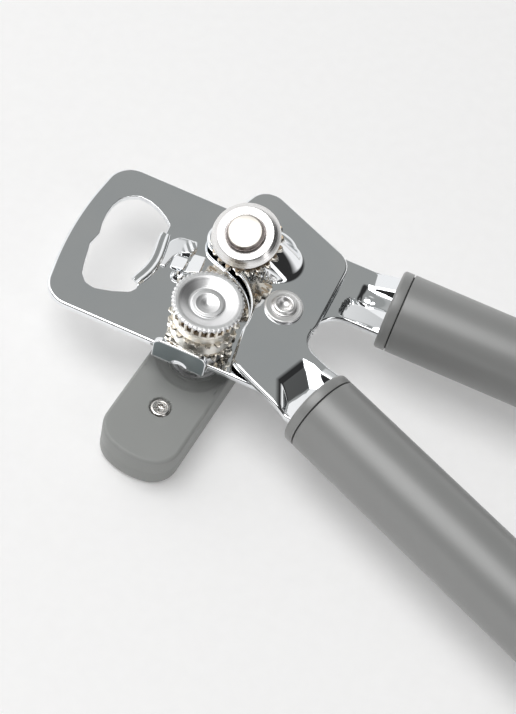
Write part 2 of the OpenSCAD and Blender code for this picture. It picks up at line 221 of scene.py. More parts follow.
def area_of(loop):
    """Area inside an outline, negative where it runs clockwise."""
    return sum(a.x * b.y - b.x * a.y for a, b in zip(loop, loop[1:] + loop[:1])) / 2


def inset(loop, distance):
    """Outline moved to its left by distance; an outer loop runs counter-clockwise, a hole clockwise."""
    out = []
    n = len(loop)
    for i in range(n):
        along = (loop[(i + 1) % n] - loop[i - 1]).normalized()
        out.append(loop[i] + Vector((-along.y, along.x)) * distance)
    return out


def inside(point, loop):
    """Whether a point lies inside an outline, by counting the sides to its right."""
    hit = False
    x, y = point
    for a, b in zip(loop, loop[1:] + loop[:1]):
        if (a.y > y) != (b.y > y) and x < (b.x - a.x) * (y - a.y) / (b.y - a.y) + a.x:
            hit = not hit
    return hit


def slab(name, outer, holes, top, bottom, at, edge_r=0.4, cell=1.0, fine=(), warp=None, low_r=None,
         hole_r=None, drop=None):
    """Closed plate between the heights top(x, y) and bottom(x, y), with rounded rims.

    fine lists (x0, y0, x1, y1, cell) boxes with a closer grid. warp moves each finished point. low_r is
    the radius of the lower rim and hole_r that of the holes' upper rims where they differ; drop is the height
    of the outer upper rim where that isn't its width.
    """
    low_r = low_r or edge_r
    hole_r = hole_r or edge_r
    loops = [outer if area_of(outer) > 0 else outer[::-1]]
    loops += [h if area_of(h) < 0 else h[::-1] for h in holes]
    verts, faces = [], []

    # Rims: rings of points from each outline inwards. Each entry has the first point of its outermost and
    # innermost ring, and the innermost ring itself.
    rims = {1: [], -1: []}
    for side, height, r in ((1, top, edge_r), (-1, bottom, low_r)):
        for number, loop in enumerate(loops):
            wide = hole_r if number and side > 0 else r
            tall = (drop or wide) if side > 0 and not number else wide
            rings = [(wide * (1 - math.cos(a)), tall * (1 - math.sin(a))) for a in RIM_ANGLES]
            rings.append((wide + RIM_FLAT, 0))
            start, size = len(verts), len(loop)
            for distance, down in rings:
                ring = inset(loop, distance)
                verts += [(p.x, p.y, height(p.x, p.y) - side * down) for p in ring]
            for row in range(len(rings) - 1):
                a, b = start + row * size, start + (row + 1) * size
                for i in range(size):
                    j = (i + 1) % size
                    faces.append((a + i, a + j, b + j, b + i))
            first = len(verts) - size
            rims[side].append((start, first, [Vector(v[:2]) for v in verts[first:]]))

    # Walls between the outermost rings of the two sides
    for loop, (high, _, _), (low, _, _) in zip(loops, rims[1], rims[-1]):
        size = len(loop)
        for i in range(size):
            j = (i + 1) % size
            faces.append((high + i, high + j, low + j, low + i))

    # Flat parts: one triangulation inside the narrower side's rings serves both sides
    borders = [border for _, _, border in rims[1 if edge_r >= low_r else -1]]
    points, triangles, origin, border_count = fill(borders, grid_points(borders, cell, fine))
    for side, height in ((1, top), (-1, bottom)):
        offsets = [first + i for _, first, border in rims[side] for i in range(len(border))]
        owner = {}
        for i, source in enumerate(origin):
            if source and source[0] < border_count:
                owner[i] = offsets[source[0]]
        for i in {i for tri in triangles for i in tri}:
            if i not in owner:
                owner[i] = len(verts)
                verts.append((points[i].x, points[i].y, height(points[i].x, points[i].y)))
        faces += [tuple(owner[i] for i in tri) for tri in triangles]
    if warp:
        verts = [warp(*v) for v in verts]
    return mesh_object(name, verts, faces, at)


def fill(borders, grid):
    """Triangles between the borders, through the grid's points: an outer border, then its holes."""
    flat, edges = [], []
    for border in borders:
        first = len(flat)
        flat += border
        edges += [(first + i, first + (i + 1) % len(border)) for i in range(len(border))]
    made = delaunay_2d_cdt(flat + grid, edges, [], 0, SAME_POINT)
    points, origin = made[0], made[3]
    kept = []
    for tri in made[2]:
        centre = sum((points[i] for i in tri), Vector((0, 0))) / 3
        if inside(centre, borders[0]) and not any(inside(centre, b) for b in borders[1:]):
            kept.append(tri)
    return points, kept, origin, len(flat)


def grid_points(borders, cell, fine):
    """Points of a square grid inside the borders and clear of them, closer together in the fine boxes."""
    xs = [p.x for p in borders[0]]
    ys = [p.y for p in borders[0]]
    near = {}
    for border in borders:
        for p in border:
            near.setdefault((int(p.x // 1), int(p.y // 1)), []).append(p)

    def clear(x, y, gap):
        for i in range(int(x // 1) - 1, int(x // 1) + 2):
            for j in range(int(y // 1) - 1, int(y // 1) + 2):
                if any((p - Vector((x, y))).length < gap for p in near.get((i, j), ())):
                    return False
        return True

    out = []
    areas = [(min(xs), min(ys), max(xs), max(ys), cell)] + list(fine)
    for level, (x0, y0, x1, y1, size) in enumerate(areas):
        for i in range(int((x1 - x0) / size) + 1):
            for j in range(int((y1 - y0) / size) + 1):
                x, y = x0 + (i + 0.5) * size, y0 + (j + 0.5) * size
                later = areas[level + 1:]
                if any(a <= x <= c and b <= y <= d for a, b, c, d, _ in later):
                    continue
                point = Vector((x, y))
                if not inside(point, borders[0]) or any(inside(point, b) for b in borders[1:]):
                    continue
                if clear(x, y, 0.5 * min(size, 1)):
                    out.append(point)
    return out


def lathe(name, profile, at, count=128, sharp_deg=40):
    """Closed solid turned about local Z. Its (radius, height) points start and end on the axis, or go round."""
    verts, faces, rings = [], [], []
    for radius, height in profile:
        if radius < ON_AXIS:
            rings.append([len(verts)])
            verts.append((0, 0, height))
            continue
        rings.append(list(range(len(verts), len(verts) + count)))
        for k in range(count):
            a = 2 * math.pi * k / count
            verts.append((radius * math.cos(a), radius * math.sin(a), height))
    pairs = list(zip(rings, rings[1:]))
    if len(rings[0]) > 1:
        pairs.append((rings[-1], rings[0]))
    for low, high in pairs:
        for k in range(count):
            m = k + 1
            face = [low[k % len(low)], low[m % len(low)], high[m % len(high)], high[k % len(high)]]
            face = list(dict.fromkeys(face))
            if len(face) > 2:
                faces.append(face)
    return mesh_object(name, verts, faces, at, sharp_deg)


def corner(cx, cy, radius, from_deg, to_deg, count=6):
    """Points of a profile's rounded corner."""
    out = []
    for k in range(count + 1):
        a = math.radians(from_deg + (to_deg - from_deg) * k / count)
        out.append((cx + radius * math.cos(a), cy + radius * math.sin(a)))
    return out


def raised(profile, by):
    """Profile points (radius, height, ...) moved up."""
    return [(radius, height + by, *rest) for radius, height, *rest in profile]


def sweep(name, path, profile, at):
    """Profile of (side, up) points swept along a path of points, tapered and closed at both ends."""
    verts, faces = [], []
    size = len(profile)
    for i, p in enumerate(path):
        before, after = path[max(i - 1, 0)], path[min(i + 1, len(path) - 1)]
        along = (after - before).normalized()
        side = along.cross(Vector((0, 0, 1))).normalized()
        up = side.cross(along)
        end = min(i, len(path) - 1 - i)
        scale = END_TAPER[end] if end < len(END_TAPER) else 1
        verts += [p + side * s * scale + up * u * scale for s, u in profile]
    for i in range(len(path) - 1):
        for k in range(size):
            m = (k + 1) % size
            faces.append((i * size + k, i * size + m, (i + 1) * size + m, (i + 1) * size + k))
    faces.append(tuple(range(size)))
    faces.append(tuple((len(path) - 1) * size + k for k in range(size)))
    return mesh_object(name, verts, faces, at, 50)


# ---------- materials ----------

# Nearly all values of a noise texture lie between these
NOISE_LOW, NOISE_HIGH = 0.3, 0.7
# Noise scales, per metre: clouding of plate, polishing marks, unevenness of plastic, its grain, paper
CLOUD_SCALE, MARKS_SCALE, TONE_SCALE, GRAIN_SCALE, PAPER_SCALE = 60, 900, 35, 2600, 220
LATHE_PITCH_M = 0.00035
MARKS_DEPTH_M = 0.00002
GRAIN_DEPTH_M = 0.00004
GRAIN_STRENGTH = 0.12


def new_material(name):
    """A material with its node tree and its shader."""
    material = bpy.data.materials.new(name)
    material.use_nodes = True
    tree = material.node_tree
    return material, tree, tree.nodes["Principled BSDF"]


def add_node(tree, kind, **inputs):
    """A node with some of its inputs set; an underscore in a keyword stands for a space in the input's name."""
    node = tree.nodes.new(kind)
    for key, value in inputs.items():
        node.inputs[key.replace("_", " ")].default_value = value
    return node


def object_noise(tree, scale, detail=4.0):
    """Noise fixed to the object, as a factor."""
    place = tree.nodes.new("ShaderNodeTexCoord")
    noise = add_node(tree, "ShaderNodeTexNoise", Scale=scale, Detail=detail)
    tree.links.new(place.outputs["Object"], noise.inputs["Vector"])
    return noise.outputs["Fac"]


def ranged(tree, source, low, high):
    """A noise factor brought to the range low to high."""
    node = add_node(tree, "ShaderNodeMapRange", From_Min=NOISE_LOW, From_Max=NOISE_HIGH, To_Min=low, To_Max=high)
    tree.links.new(source, node.inputs["Value"])
    return node.outputs["Result"]


def two_tone(tree, source, low, high):
    """A noise factor turned into a colour between low and high."""
    ramp = tree.nodes.new("ShaderNodeValToRGB")
    for stop, position, colour in zip(ramp.color_ramp.elements, (NOISE_LOW, NOISE_HIGH), (low, high)):
        stop.position = position
        stop.color = (*colour, 1)
    tree.links.new(source, ramp.inputs["Fac"])
    return ramp.outputs["Color"]


def vary(tree, shader, tone, fine, colours, roughness):
    """Colour that follows the factor tone, and roughness that follows the factor fine."""
    tree.links.new(two_tone(tree, tone, *colours), shader.inputs["Base Color"])
    tree.links.new(ranged(tree, fine, *roughness), shader.inputs["Roughness"])


def add_bump(tree, shader, source, strength, distance):
    """Bump from a noise factor; distance is its depth in metres."""
    bump = add_node(tree, "ShaderNodeBump", Strength=strength, Distance=distance)
    tree.links.new(source, bump.inputs["Height"])
    tree.links.new(bump.outputs["Normal"], shader.inputs["Normal"])


def plated_steel(name, low, high, rough_low, rough_high, bump=0.0):
    """Nickel or chrome plate with faint clouding and fine polishing marks."""
    material, tree, shader = new_material(name)
    shader.inputs["Metallic"].default_value = 1.0
    marks = object_noise(tree, MARKS_SCALE, 2.0)
    vary(tree, shader, object_noise(tree, CLOUD_SCALE), marks, (low, high), (rough_low, rough_high))
    if bump:
        add_bump(tree, shader, marks, bump, MARKS_DEPTH_M)
    return material


def turned_steel(name, low, high, rough_low, rough_high, centre, axis=(0, 0, 1), bump=0.15):
    """Steel with the fine rings that a lathe leaves round an axis through centre."""
    material, tree, shader = new_material(name)
    shader.inputs["Metallic"].default_value = 1.0

    def vector_math(operation, source, second=(0, 0, 0)):
        node = tree.nodes.new("ShaderNodeVectorMath")
        node.operation = operation
        node.inputs[1].default_value = second
        tree.links.new(source, node.inputs[0])
        return node.outputs

    place = tree.nodes.new("ShaderNodeTexCoord")
    offset = vector_math("SUBTRACT", place.outputs["Object"], centre)
    across = vector_math("CROSS_PRODUCT", offset["Vector"], axis)
    radius = vector_math("LENGTH", across["Vector"])
    noise = tree.nodes.new("ShaderNodeTexNoise")
    noise.noise_dimensions = "1D"
    noise.inputs["Scale"].default_value = 1 / LATHE_PITCH_M
    noise.inputs["Detail"].default_value = 2
    tree.links.new(radius["Value"], noise.inputs["W"])
    rings = noise.outputs["Fac"]
    vary(tree, shader, rings, rings, (low, high), (rough_low, rough_high))
    add_bump(tree, shader, rings, bump, GRAIN_DEPTH_M)
    return material


def satin_plastic(name, low, high, rough_low, rough_high, specular=0.5):
    """Moulded plastic with a fine satin grain and very slight unevenness of tone."""
    material, tree, shader = new_material(name)
    shader.inputs["Specular IOR Level"].default_value = specular
    grain = object_noise(tree, GRAIN_SCALE, 3.0)
    vary(tree, shader, object_noise(tree, TONE_SCALE), grain, (low, high), (rough_low, rough_high))
    add_bump(tree, shader, grain, GRAIN_STRENGTH, GRAIN_DEPTH_M)
    return material


# Each has a name, the two tones that it varies between and the range of its roughness. Last comes the strength
# of the bump of a plated one, the middle and axis of a turned one's rings, or the specular level of a plastic.
CHROME = plated_steel("chrome_plate", (0.88, 0.9, 0.92), (0.92, 0.93, 0.94), 0.035, 0.06)
GEAR = plated_steel("gear_steel", (0.62, 0.57, 0.5), (0.8, 0.76, 0.68), 0.16, 0.3, 0.2)
PLAIN = plated_steel("plain_steel", (0.6, 0.6, 0.6), (0.74, 0.74, 0.74), 0.25, 0.4, 0.2)
SCREW = plated_steel("screw_steel", (0.5, 0.48, 0.46), (0.85, 0.82, 0.79), 0.15, 0.35, 0.3)
# Dark brown steel for the gaps between teeth: painted shade in the gullets
PAINTED_GULLET_SHADE = plated_steel("painted_gullet_shade", (0.26, 0.19, 0.12), (0.58, 0.47, 0.35), 0.2, 0.35, 0.2)
# Darker steel for painted shade: in the gap between the cutting wheel and the stud, and on the stud's shaded side
SHADE = plated_steel("painted_shade_steel", (0.2, 0.17, 0.16), (0.32, 0.28, 0.27), 0.22, 0.3)
# Darker plate for the tab's outer face: a painted reflection of the shaded knob below it
TAB_PAINTED_REFLECTION = plated_steel("tab_painted_reflection", (0.31, 0.355, 0.37), (0.34, 0.385, 0.4), 0.35, 0.45)

ON_CRANK = (0, 0, 0)
ON_PIVOT = (PIVOT.x * MM, PIVOT.y * MM, 0)
ON_CUTTER = CUTTER_AT * MM
GROUND = turned_steel("ground_blade", (0.86, 0.85, 0.84), (0.92, 0.91, 0.9), 0.2, 0.3, ON_CUTTER, CUTTER_AXIS,
                      bump=0.06)
STUD = turned_steel("stud_face", (0.5, 0.475, 0.435), (0.54, 0.515, 0.475), 0.3, 0.36, ON_CUTTER, CUTTER_AXIS)
TURNED = turned_steel("turned_wheel", (0.84, 0.84, 0.85), (0.92, 0.92, 0.92), 0.3, 0.38, ON_CRANK, bump=0.06)
WARM = turned_steel("warm_hub", (0.88, 0.84, 0.76), (0.94, 0.91, 0.85), 0.3, 0.4, ON_CRANK, bump=0.04)
RIVET = turned_steel("turned_rivet", (0.84, 0.83, 0.83), (0.92, 0.91, 0.9), 0.3, 0.4, ON_PIVOT, bump=0.05)

GRIP = satin_plastic("grip_plastic", (0.235, 0.237, 0.233), (0.25, 0.252, 0.248), 0.32, 0.4, 0.85)
KNOB = satin_plastic("knob_plastic", (0.285, 0.292, 0.283), (0.3, 0.307, 0.298), 0.42, 0.52)
DARK = satin_plastic("core_plastic", (0.05, 0.052, 0.051), (0.07, 0.072, 0.071), 0.5, 0.6)

# CAD nodes that keep their own mesh, and the width in millimetres of the soft edges that some of them get
NODE_LOOKS = {
    "shaft_bushing": PLAIN, "pivot_spacer": PLAIN, "upper_core": DARK, "lower_core": DARK,
    "upper_tang_pins": PLAIN, "lower_tang_pins": PLAIN, "cutter_thrust_washer": PLAIN, "crank_washer": PLAIN,
    "knob_drive_bar": PLAIN, "cutter_spacer": PLAIN,
}
NODE_BEVELS = {"shaft_bushing": 0.3, "crank_washer": 0.2, "cutter_spacer": 0.2}


def dress_cad_nodes():
    """Gives each carried-over CAD node its material, and some of them soft edges."""
    for name, material in NODE_LOOKS.items():
        obj = NODES[name]
        for place in obj.material_slots:
            place.material = material
        width = NODE_BEVELS.get(name)
        if width:
            bevel = obj.modifiers.new("soft_edges", "BEVEL")
            bevel.width = width * MM
            bevel.segments = 3
            bevel.limit_method = "ANGLE"
            bevel.angle_limit = math.radians(32)
            bevel.harden_normals = True


# ---------- nose plate ----------

# Its frame has its origin at the pivot and x towards the handle. NOSE_TOP and NOSE_LOW are its long edges.
NECK_W = 21.4
NOSE_TOP = 28.6
NOSE_LOW = -27.4
TANG_L = 78
TANG_HALF_W = 7
# How much thinner than the plate a tang is on each face, so that no two faces share a plane
TANG_THINNER = 0.05


def tang(name, body, middle_y, at):
    """Flat strip that carries on from a plate's neck into its handle."""
    near, far = NECK_END - 1, NECK_END + TANG_L
    low, high = middle_y - TANG_HALF_W, middle_y + TANG_HALF_W
    outline = rounded_loop([(near, low, 0.5), (far, low, 1), (far, high, 1), (near, high, 0.5)])
    strip = slab(name, outline, [], lambda x, y: NOSE_FACE - TANG_THINNER,
                 lambda x, y: NOSE_FACE - PLATE_T + TANG_THINNER, at, edge_r=0.3, cell=4)
    finish_piece(strip, body, "plate_steel", CHROME)


def nose_top(x, y):
    """Upper face: flat, apart from the neck with its rising far side, shelf, boss and pressed pocket."""
    bend_x = 21.2 + 0.12 * max(0.0, 28 - y)
    rise = 0.32 * max(0.0, x - bend_x) * smoothstep(20.4, 23.4, y)

    shelf_band = smoothstep(15.4, 16.2, y) * smoothstep(23.2, 21.2, y)
    step_down = 0.8 * smoothstep(18.2, 20.4, x)
    shelf = (0.19 * max(0.0, x - 23.2) - step_down) * shelf_band
    boss = 0.55 * math.exp(-((x - 22.4) / 2.2) ** 2 - ((y - 18.2) / 1.3) ** 2)

    pocket_band = smoothstep(15.9, 15.0, y) * smoothstep(7.9, 8.9, y)
    pocket_end = 15.0 + 0.06 * (y - 11.0) ** 2
    fold = 0.16 * max(0.0, (y - 15.1) + 0.36 * (x - 21.6))
    pocket = (-2.0 + 0.21 * (x - 16.5) + fold) * pocket_band * smoothstep(pocket_end, pocket_end + 1.5, x)
    return NOSE_FACE + rise + shelf + boss + pocket


def nose_bottom(x, y):
    return nose_top(x, y) - PLATE_T


# Corners (x, y, radius) of the bottle opening
MOUTH = [
    (-61.8, -3.7, 0.8), (-60.8, 1.1, 2), (-61.7, 5, 4), (-62, 8.9, 6), (-61.7, 12.5, 5), (-60.6, 15.9, 3),
    (-58.5, 18.2, 2.5), (-55.5, 19.6, 3), (-52, 19.3, 5), (-48.8, 18.1, 6), (-45.2, 15.9, 4), (-43.1, 14, 1),
    (-42.9, 10.1, 0.5), (-44.2, 8.9, 0.5), (-43.5, 4.6, 8), (-43, 1.5, 6), (-42.8, -1.3, 6), (-43.6, -5, 6),
    (-44.7, -8.5, 0.5), (-43.1, -10.1, 0.6), (-42.7, -12.2, 1.2), (-44, -14.2, 2), (-48.8, -16.4, 8),
    (-54, -17.9, 3), (-57, -17.2, 2.5), (-59.2, -14.8, 3), (-60.3, -10.8, 6), (-61.2, -6.2, 4)]
# Middle line of the curled strip beside it, and its profile as (side, up)
LIP_PATH = [
    (-42.7, 10.2), (-42.6, 8.6), (-42.3, 6.4), (-41.9, 4), (-41.6, 1.6), (-41.5, -0.8), (-41.7, -3), (-42.1, -5),
    (-42.7, -7), (-43.4, -8.8), (-43.9, -10.2)]
LIP_PROFILE = [
    (1.95, 0), (1.85, 0.7), (1.5, 1.05), (1.0, 1.1), (0.5, 1.0), (0, 0.85), (-0.45, 0.97), (-0.9, 1.17),
    (-1.4, 1.15), (-1.8, 0.7), (-1.95, 0)]


def nose_plate():
    """Plate with a blunt rounded nose, the bottle opening, and holes for the bushing and the rivet."""
    neck_low = NOSE_TOP - NECK_W
    shoulder_x = 10.8
    outer = rounded_loop([
        (-66.6, NOSE_LOW, 8.5), (shoulder_x, NOSE_LOW, 8), (shoulder_x, neck_low, 8), (NECK_END, neck_low, 0.5),
        (NECK_END, NOSE_TOP, 0.5), (-66.2, NOSE_TOP + 0.4, 8.5), (-70.7, 1, 110)])
    holes = [rounded_loop(MOUTH, 0.35), circle(-PIVOT.x, -PIVOT.y, 5), circle(0, 0, 4)]
    neck = (13.5, neck_low, NECK_END, NOSE_TOP, 0.35)
    body = slab("nose_plate_body", outer, holes, nose_top, nose_bottom, AT_NOSE, edge_r=0.8, cell=1.5,
                fine=[neck], low_r=0.45, hole_r=0.25, drop=0.7)
    finish_piece(body, "nose_arm", "plate_steel", CHROME, "nose_plate")
    tang("nose_plate_tang", "nose_arm", HANDLE_Y, AT_NOSE)


def rim_tab():
    """Tab bent up from the lower edge, with rounded top corners and a relief hole in its fold."""
    x0, width, thick = -29.2, 16.6, 1.8
    out, fold, tall = 31.6, 2.6, 10.9
    start = fold - out
    quarter = fold * math.pi / 2
    length = quarter + tall - fold
    foot = NOSE_FACE - PLATE_T

    def bend(u, v, w):
        """Point at u along the fold, v up the flat strip and w in from its outer, convex side."""
        if v < 0:
            return (u, start - v, foot + w)
        if v < quarter:
            a, r = v / fold, fold - w
            return (u, start - r * math.sin(a), foot + fold - r * math.cos(a))
        return (u, w - out, foot + fold + v - quarter)

    outline = rounded_loop([(x0, -3, 0.3), (x0 + width, -3, 0.3), (x0 + width, length, 2.6), (x0, length, 2.6)])
    tab = slab("rim_tab", outline, [circle(x0 + 8.8, 3.6, 2.5, 24)], lambda x, y: thick, lambda x, y: 0.0,
               AT_NOSE, edge_r=0.4, cell=0.8, warp=bend)
    finish_piece(tab, "nose_arm", "plate_steel", CHROME)
    # Painted reflection: the tab's outer face gets the darker plate, as if mirroring the shaded knob
    paint(tab, TAB_PAINTED_REFLECTION, lambda c: c.y < PIVOT.y - out + 0.02 and c.z > NOSE_FACE - 0.6)


def rim_hook():
    """Claw, lug and stop pressed up out of the nose plate, low enough for the cutter plate to pass over."""

    def base(x, y):
        return NOSE_FACE - 0.3

    def claw_top(x, y):
        ripple = 0.1 * smoothstep(-36, -34, x) * math.sin(2.6 * x + 2.1 * y)
        return NOSE_FACE + 0.1 + 0.145 * (x + 41.4) + ripple - 0.3 * smoothstep(10.2, 11.6, y)

    def lug_top(x, y):
        return NOSE_FACE + 0.25 + 0.24 * ((x + 37.4) % 4.9) + 0.03 * y

    claw = rounded_loop([
        (-41.1, -1.2, 0.6), (-41.4, 4, 5), (-40.6, 8.8, 4), (-38.2, 11.4, 3), (-33, 11.6, 1), (-31.9, 9.4, 0.8),
        (-32.9, 6.5, 0.8), (-35.4, 5.7, 1.5), (-37.2, 3.6, 2), (-38.2, -1.2, 0.6)], 0.25)
    lug = rounded_loop([
        (-37.2, 4.4, 0.4), (-32.2, 4.0, 0.2), (-32.1, 7.2, 0.3), (-28.2, 7.2, 0.4), (-27.8, 1.2, 0.4),
        (-31.8, 0.0, 0.5), (-36.9, -0.4, 0.6)], 0.25)
    stop = [(0, -0.3), (2.3, -0.3), (2.3, 0.2), (1.9, 0.8), (1.3, 1.2), (1.0, 1.0), (0.7, 0.3), (0, 0.1)]
    at_stop = AT_NOSE @ Matrix.Translation((-33.3, -2.4, NOSE_FACE))
    for piece in (slab("rim_claw", claw, [], claw_top, base, AT_NOSE, edge_r=0.3, cell=0.5),
                  slab("rim_lug", lug, [], lug_top, base, AT_NOSE, edge_r=0.2, cell=0.35),
                  lathe("rim_stop", stop, at_stop, 32, 60)):
        finish_piece(piece, "nose_arm", "plate_steel", CHROME)


def mouth_lip():
    """Curled strip along the edge of the bottle opening that catches the cap."""
    path = [Vector((x, y, NOSE_FACE - 0.2)) for x, y in LIP_PATH]
    finish_piece(sweep("mouth_lip", path, LIP_PROFILE, AT_NOSE), "nose_arm", "plate_steel", CHROME)


# ---------- cutter plate ----------

# Feed shaft in the arm's frame with the handles closed, where the plate's round cut-out goes round it
CLOSED_SWING = math.radians(JOINTS["handle_squeeze"]["range_deg"][1] - OPEN_DEG)
FEED_CLOSED = Matrix.Rotation(-CLOSED_SWING, 2) @ Vector((-PIVOT.x, -PIVOT.y))
FEED_CUT_R = 17.1
# The dome: centre and radius of each foot, and the round top, which leans with the cutter's axis. The top lies
# DOME_DROP down that axis from the cutter, so DOME_SHIFT to the side. DOME_SOFT is how far up its foot is rounded.
CUTTER_IN_ARM = AT_ARM.inverted() @ CUTTER_AT
DOME_FEET = (((-12.6, 11.0), 8.1), ((-16.5, 10.9), 9.3), ((-20.5, 7.0), 7.6))
DOME_TOP_R = 5.0
DOME_DROP = 2.5
DOME_SHIFT = 0.86
DOME_SOFT = 0.16
LEAN = math.radians(20)


def dome_height(x, y):
    """Height of the pressed dome over the plate: oblique cones from three feet up to one leaning top."""
    top = Vector((CUTTER_IN_ARM.x, CUTTER_IN_ARM.y + DOME_SHIFT))
    top_z = CUTTER_IN_ARM.z - DOME_DROP * math.cos(LEAN) - ARM_FACE
    plane = top_z + math.tan(LEAN) * (y - top.y)
    best = 0.0
    p = Vector((x, y))
    for foot, foot_r in DOME_FEET:
        foot = Vector(foot)
        if (p - foot).length >= foot_r:
            continue
        # the circle through p, found by halving, lies between the top's circle at 0 and the foot's at 1
        low, high = 0.0, 1.0
        for _ in range(18):
            mid = (low + high) / 2
            if (p - top.lerp(foot, mid)).length <= DOME_TOP_R + (foot_r - DOME_TOP_R) * mid:
                high = mid
            else:
                low = mid
        share = 1 - high
        share = share * share / (2 * DOME_SOFT) if share < DOME_SOFT else share - DOME_SOFT / 2
        best = max(best, plane * share / (1 - DOME_SOFT / 2))
    return best


def arm_top(x, y):
    """Upper face: flat, with the dome, and a neck with a faceted pocket that rises again to the collar."""
    from_edge = min(x - 17.2, 0.71 * (x - 16.9) + 0.71 * (y + 18.6))
    near_wall = max(0.0, from_edge + 1.8) ** 2 / 9
    far_wall = -0.5 * (y + 7.2 + 0.3 * max(0.0, 20 - x))
    floor = 0.8 + 0.3 * (x - 18)
    to_collar = 2.7 - 0.3 * (x - 24.2) - 0.05 * abs(y + 14)
    depth = max(0.0, min(near_wall, far_wall, floor, to_collar))
    lift = 0.22 * max(0.0, x - 22.8) * smoothstep(-9.5, -6.5, y)
    return ARM_FACE - depth + lift + dome_height(x, y)


def arm_bottom(x, y):
    """Lower face, kept clear of the nose plate as far as the shoulder."""
    low = arm_top(x, y) - PLATE_T
    return max(low, NOSE_FACE + 0.15) if x < 20.5 else low


def cutter_plate():
    """Plate with the cutter's dome, a round cut-out for the feed wheel and a hole for the rivet."""
    neck_low, neck_top = LOWER_HANDLE_Y - NECK_W / 2, LOWER_HANDLE_Y + NECK_W / 2
    flat_y, far_y = -1.5, 28.5
    cx, cy = FEED_CLOSED
    cut_end = math.degrees(math.atan2(-14.3 - cy, -2.9 - cx))
    outer = rounded_loop([
        (-34.8, flat_y - 0.7, 6), (cx - 3, flat_y, 2), *arc(cx, cy, FEED_CUT_R, 90, cut_end, 30),
        (3.4, neck_low + 0.4, 2), (12, neck_low, 20), (NECK_END, neck_low, 0.5), (NECK_END, neck_top, 0.5),
        (11.5, neck_top, 6), (11.5, 2.5, 7), (1.46, far_y, 7), (-36, far_y, 7)])
    dome, neck = (-31, -3, -3, 22, 0.45), (11, neck_low, NECK_END, neck_top, 0.35)
    body = slab("cutter_plate_body", outer, [circle(0, 0, 4.05)], arm_top, arm_bottom, AT_ARM, edge_r=0.9,
                cell=1.5, fine=[dome, neck], low_r=0.4, hole_r=0.3, drop=0.9)
    finish_piece(body, "cutter_arm", "plate_steel", CHROME, "cutter_plate")
    tang("cutter_plate_tang", "cutter_arm", LOWER_HANDLE_Y, AT_ARM)


# ---------- handles ----------

COLLAR_BORE = 11.3
GRIP_BORE = 10.2
CAP_PLUG_R = 10.1
CAP_ROUND = 4.5
# Radius round the crank's axis that the knob sweeps, and the gap over the knob
KNOB_SWEEP_R = 40.45
KNOB_GAP = 0.4


def handle(prefix, body, at):
    """Collar, grip and rounded end of one handle, turned about its axis."""
    r = HANDLE_R
    front, back = COLLAR_LOW.x - PIVOT.x, COLLAR_HIGH.x - PIVOT.x
    end, tip = GRIP_HIGH.x - PIVOT.x, CAP_HIGH - PIVOT.x
    collar = [(COLLAR_BORE, front + 0.3), (COLLAR_BORE + 0.3, front)]
    collar += corner(r - 1.0, front + 1.0, 1.0, -90, 0) + corner(r - 0.15, back - 0.15, 0.15, 0, 90, 3)
    collar += [(COLLAR_BORE, back)]
    tube = [(GRIP_BORE, GRIP_X)] + corner(r - 0.3, GRIP_X + 0.3, 0.3, -90, 0, 4)
    tube += [(r, end - 0.02), (r - 0.02, end), (GRIP_BORE, end)]
    cap = [(0, end - 5), (CAP_PLUG_R, end - 5), (CAP_PLUG_R, end + 0.02), (r - 0.02, end + 0.02), (r, end + 0.06)]
    cap += corner(r - CAP_ROUND, tip - CAP_ROUND, CAP_ROUND, 0, 80, 10) + [(r - 7.5, tip - 0.02), (0, tip)]
    for piece, profile, node in (("_collar_ring", collar, "_collar"), ("_grip_tube", tube, "_grip"),
                                 ("_end_cap_dome", cap, "_end_cap")):
        obj = lathe(prefix + piece, profile, at)
        if prefix + node == "lower_collar":
            clear_knob(obj)
        finish_piece(obj, body, "grip_plastic", GRIP, prefix + node)


def clear_knob(obj):
    """Pushes the collar's lower front edge back, where the knob turns past it."""
    for vert in obj.data.vertices:
        flat = vert.co.xy / MM
        if vert.co.z / MM < KNOB_TOP + KNOB_GAP and flat.length < KNOB_SWEEP_R:
            vert.co.xy = flat.normalized() * KNOB_SWEEP_R * MM


# ---------- knob ----------

KNOB_HALF_L = 40.0
KNOB_HALF_W = 12.5
KNOB_SCREW_X = 20.8
WELL_DEPTH = 1.15
SCREW_BORE_DEPTH = 1.2


def knob_loop():
    """Outline: a bar with gently bowed, round-cornered ends."""
    x, y = KNOB_HALF_L, KNOB_HALF_W
    return rounded_loop([(3 - x, -y, 8.5), (x - 3, -y, 8.5), (x + 0.5, 0, 20), (x - 3, y, 8.5), (3 - x, y, 8.5),
                         (-0.5 - x, 0, 20)])


def knob_top(x, y):
    """Top face: a shallow dished well round the shaft and a counterbore round each screw."""
    d = math.hypot(x, y)
    well = WELL_DEPTH * (1 - smoothstep(10.4, 12.6, d)) * smoothstep(7.6, 8.2, d)
    screw = min(math.hypot(x - KNOB_SCREW_X, y), math.hypot(x + KNOB_SCREW_X, y))
    return KNOB_TOP - well - SCREW_BORE_DEPTH * (1 - smoothstep(3.1, 3.4, screw))


def knob():
    """Upper shell with well and counterbores, and the plain lower shell."""
    fine = [(-13, -12.5, 13, 12.5, 0.5)]
    fine += [(x - 4.5, -4.5, x + 4.5, 4.5, 0.35) for x in (KNOB_SCREW_X, -KNOB_SCREW_X)]
    upper = slab("knob_upper", knob_loop(), [circle(0, 0, 3.5)], knob_top, lambda x, y: KNOB_SPLIT, AT_KNOB,
                 edge_r=1.1, cell=1.6, fine=fine, low_r=0.06)
    finish_piece(upper, "crank", "knob_plastic", KNOB, "knob_upper_shell")
    lower = slab("knob_lower", knob_loop(), [], lambda x, y: KNOB_SPLIT, lambda x, y: 0.0, AT_KNOB,
                 edge_r=0.06, cell=2.0, low_r=1.6)
    finish_piece(lower, "crank", "knob_plastic", KNOB, "knob_lower_shell")


